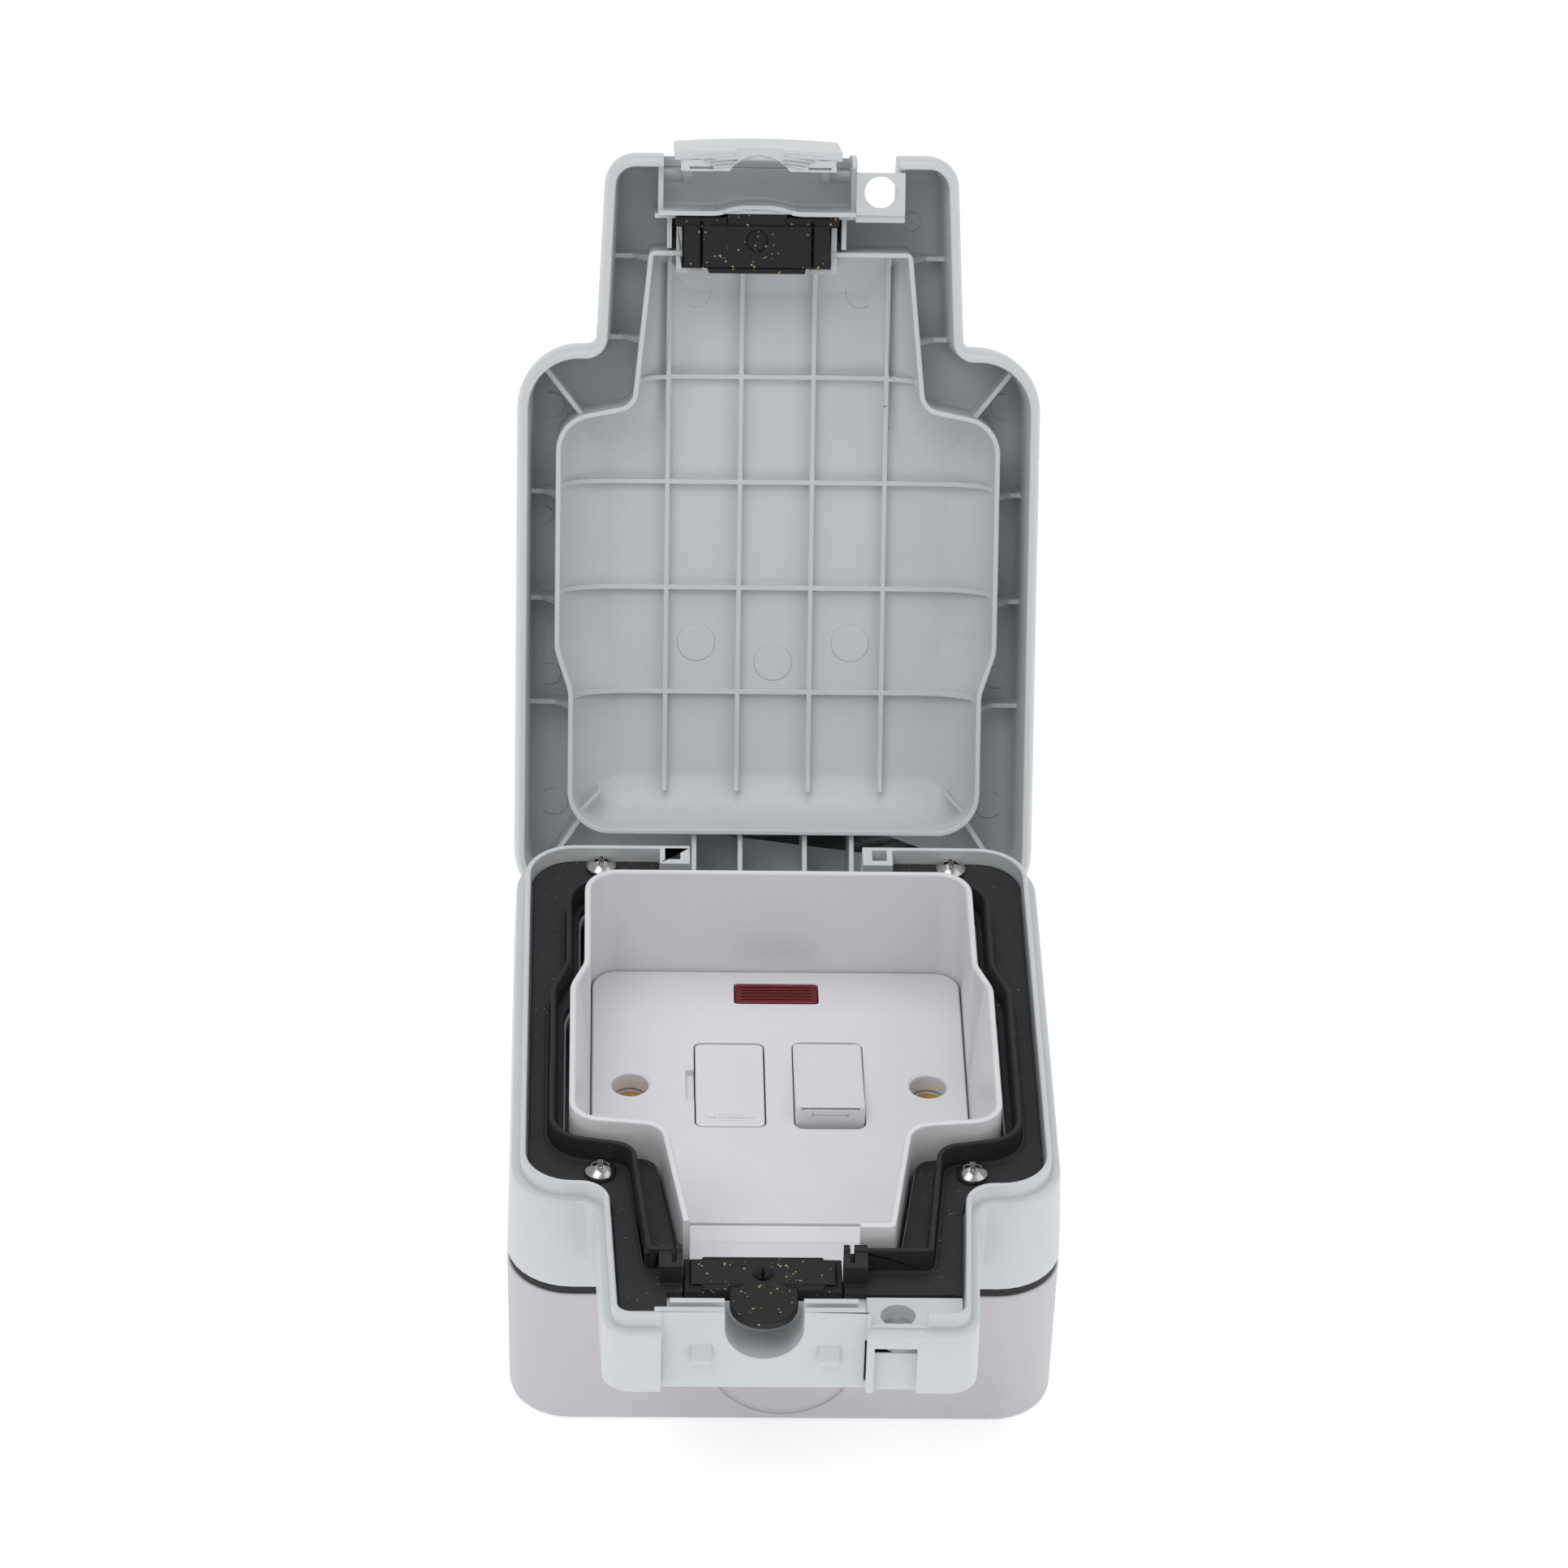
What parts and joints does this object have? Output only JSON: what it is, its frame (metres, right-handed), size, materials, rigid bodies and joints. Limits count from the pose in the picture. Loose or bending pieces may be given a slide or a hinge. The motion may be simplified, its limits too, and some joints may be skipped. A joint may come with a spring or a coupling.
{
  "type": "weatherproof fused connection unit",
  "caption": "Surface wall box with a hinged snap-shut weatherproof lid over a rocker isolator, a pull-out fuse carrier and a neon, with a sealed flexible-cord exit in its nose.",
  "frame": {"origin": "centre of the wall face of the back box (the plan centre of the wide body, not counting the nose)", "axes": "+Z out of the wall towards the user, +Y towards the lid hinge (up when mounted), -Y towards the latch and cable exit, +X to the right as seen by the user"},
  "size_m": [0.109, 0.2478, 0.1862],
  "materials": {
    "grey_plastic": "fine satin moulding, light cool grey",
    "box_plastic": "fine satin moulding, light warm grey",
    "white_plastic": "semi-gloss urea moulding, white",
    "black_rubber": "matt moulded elastomer",
    "red_lens": "clear red polycarbonate",
    "lamp_glass": "clear glass envelope",
    "ceramic": "glazed ceramic",
    "brass": "turned and stamped brass",
    "steel": "bright zinc-plated or nickel-plated steel"
  },
  "bodies": {
    "enclosure": {"back_box": "box_plastic", "box_gasket": "black_rubber", "front_frame": "grey_plastic", "frame_seal": "black_rubber", "inner_shroud": "white_plastic", "face_plate": "white_plastic", "module_housing": "white_plastic", "terminal_load_live": "brass", "terminal_screw_load_live": "brass", "terminal_supply_live": "brass", "terminal_screw_supply_live": "brass", "terminal_supply_neutral": "brass", "terminal_screw_supply_neutral": "brass", "terminal_load_neutral": "brass", "terminal_screw_load_neutral": "brass", "terminal_earth": "brass", "terminal_screw_earth": "brass", "housing_screw_1": "steel", "housing_screw_2": "steel", "insert_left": "brass", "insert_right": "brass", "frame_screw_1": "steel", "frame_screw_2": "steel", "frame_screw_3": "steel", "frame_screw_4": "steel", "neon_lens": "red_lens", "neon_lamp": "lamp_glass", "neon_resistor": "ceramic", "fuse_clip_front": "brass", "fuse_clip_rear": "brass", "fixed_contact_live": "brass", "fixed_contact_neutral": "brass", "pivot_post_live": "brass", "pivot_post_neutral": "brass", "cable_seal_lower": "black_rubber"},
    "lid_body": {"lid": "grey_plastic", "cable_seal_upper": "black_rubber"},
    "latch_body": {"latch_clip": "grey_plastic"},
    "rocker_body": {"rocker": "white_plastic", "plunger_live": "white_plastic", "plunger_spring_live": "steel", "plunger_neutral": "white_plastic", "plunger_spring_neutral": "steel"},
    "contact_live_body": {"contact_arm_live": "brass"},
    "contact_neutral_body": {"contact_arm_neutral": "brass"},
    "carrier_body": {"fuse_carrier": "white_plastic", "fuse_body": "ceramic", "fuse_cap_front": "steel", "fuse_cap_rear": "steel"}
  },
  "joints": [
    {"name": "lid_hinge", "type": "hinge", "parent": "enclosure", "child": "lid_body", "pos_m": [0, 0.0556, 0.04376], "axis": [1, 0, 0], "range_deg": [0, 114.6]},
    {"name": "latch_pivot", "type": "hinge", "parent": "lid_body", "child": "latch_body", "pos_m": [0, 0.14012, 0.17015], "axis": [1, 0, 0], "range_deg": [-25, 0], "stiffness_Nm_per_rad": 0.02, "springref_deg": 8.59},
    {"name": "rocker_pivot", "type": "hinge", "parent": "enclosure", "child": "rocker_body", "pos_m": [0.01, 0.0009, 0.0365], "axis": [1, 0, 0], "range_deg": [0, 16]},
    {"name": "contact_live_pivot", "type": "hinge", "parent": "enclosure", "child": "contact_live_body", "pos_m": [0.007, 0.0009, 0.022], "axis": [1, 0, 0], "range_deg": [-12, 0]},
    {"name": "contact_neutral_pivot", "type": "hinge", "parent": "enclosure", "child": "contact_neutral_body", "pos_m": [0.013, 0.0009, 0.022], "axis": [1, 0, 0], "range_deg": [-12, 0]},
    {"name": "fuse_carrier_slide", "type": "slide", "parent": "enclosure", "child": "carrier_body", "axis": [0, 0, 1], "range_m": [0, 0.018]}
  ],
  "couplings": [
    {"joint": "contact_live_pivot", "follows": "rocker_pivot", "ratio": -0.75},
    {"joint": "contact_neutral_pivot", "follows": "rocker_pivot", "ratio": -0.75}
  ]
}
